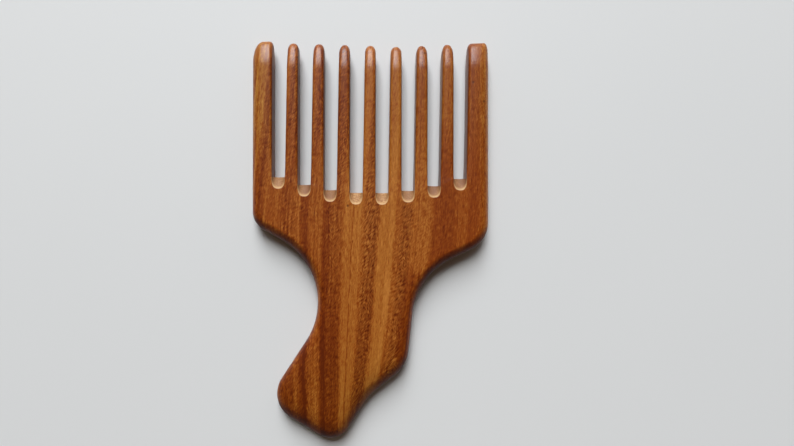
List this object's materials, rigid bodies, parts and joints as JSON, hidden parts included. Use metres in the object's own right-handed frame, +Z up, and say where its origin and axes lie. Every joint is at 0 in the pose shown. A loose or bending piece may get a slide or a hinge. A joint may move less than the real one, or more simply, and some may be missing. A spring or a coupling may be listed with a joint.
{
  "type": "afro pick",
  "caption": "Wide-tooth wooden hair pick: a flat carved board with a row of long bevelled teeth between wide guard teeth, a shouldered head and a short offset grip.",
  "frame": {"origin": "under the middle of the pick's outline, on the plane that its back face rests on", "axes": "+X across the row of teeth, +Y along the teeth from the handle to the tips, +Z up out of the front face"},
  "size_m": [0.101, 0.17, 0.01],
  "materials": {
    "oiled_hardwood": "satin oil"
  },
  "bodies": {
    "root": {"left_guard_tooth": "oiled_hardwood", "tooth_1": "oiled_hardwood", "tooth_2": "oiled_hardwood", "tooth_3": "oiled_hardwood", "tooth_4": "oiled_hardwood", "tooth_5": "oiled_hardwood", "tooth_6": "oiled_hardwood", "tooth_7": "oiled_hardwood", "right_guard_tooth": "oiled_hardwood", "head": "oiled_hardwood", "handle": "oiled_hardwood"}
  },
  "joints": []
}
